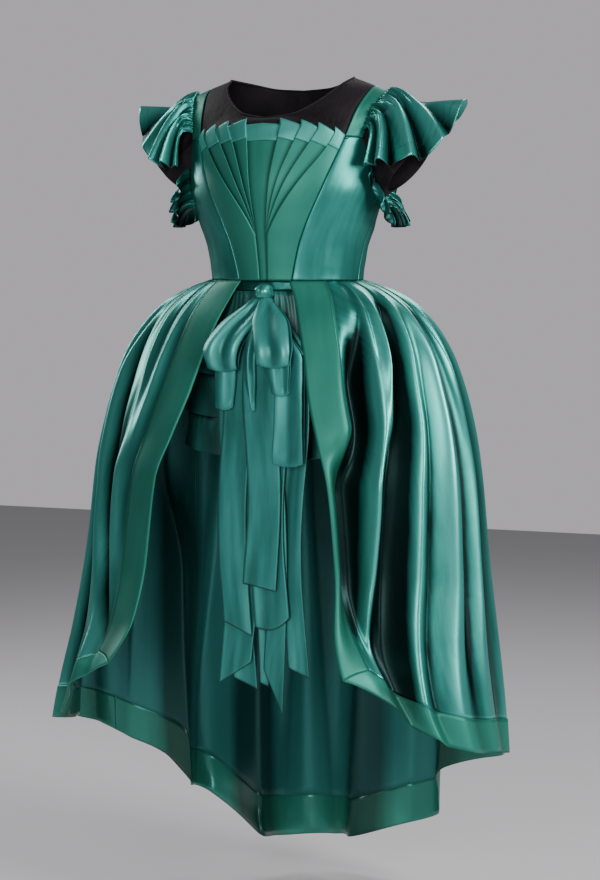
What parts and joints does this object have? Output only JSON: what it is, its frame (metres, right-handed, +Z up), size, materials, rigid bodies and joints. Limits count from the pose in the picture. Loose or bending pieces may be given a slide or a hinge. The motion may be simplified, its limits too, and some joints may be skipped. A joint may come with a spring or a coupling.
{
  "type": "ball gown costume",
  "caption": "High-low satin gown costume with fitted bodice, flutter ruffles, tiered shorts, open-front overskirt, ribbon bow and a black short-sleeved yoke, worn shape.",
  "frame": {"origin": "middle of the line through the tops of the two shoulder straps, where the wearer's shoulders hold the garment", "axes": "+Z up, the wearer faces -Y, the wearer's left is +X"},
  "size_m": [0.9232, 0.6702, 1.5451],
  "materials": {
    "satin": "smooth satin",
    "matte": "matte ribbed satin, wrong side out",
    "shorts_satin": "dark satin",
    "black_mesh": "fine black mesh jersey"
  },
  "bodies": {
    "root": {"front_fan": "matte", "fan_cuff_1": "satin", "fan_cuff_2": "satin", "fan_cuff_3": "satin", "fan_cuff_4": "satin", "fan_cuff_5": "satin", "fan_cuff_6": "satin", "fan_cuff_7": "satin", "fan_cuff_8": "satin", "fan_cuff_9": "satin", "side_front_left": "satin", "side_front_right": "satin", "bodice_back_left": "satin", "bodice_back_right": "satin", "strap_left": "matte", "strap_right": "matte", "yoke_front": "black_mesh", "yoke_back": "black_mesh", "sleeve_left": "black_mesh", "sleeve_right": "black_mesh", "ruffle_upper_left": "satin", "ruffle_upper_right": "satin", "ruffle_lower_left": "satin", "ruffle_lower_right": "satin", "waistband": "satin", "skirt_gore_1": "satin", "skirt_gore_2": "satin", "skirt_gore_3": "satin", "skirt_gore_4": "satin", "skirt_gore_5": "satin", "skirt_gore_6": "satin", "front_band_left": "matte", "front_band_right": "matte", "hem_band_1": "matte", "hem_band_2": "matte", "hem_band_3": "matte", "hem_band_4": "matte", "shorts_left": "shorts_satin", "shorts_right": "shorts_satin", "bow_knot": "satin", "bow_loop_1": "satin", "bow_loop_2": "satin", "bow_loop_3": "satin", "bow_loop_4": "satin", "bow_loop_5": "satin", "bow_loop_6": "satin", "bow_tail_1": "satin", "bow_tail_2": "satin", "bow_tail_3": "satin", "bow_tail_4": "satin", "bow_tail_5": "satin", "bow_tail_6": "satin", "bow_tail_7": "satin", "bow_tail_8": "satin"}
  },
  "joints": []
}
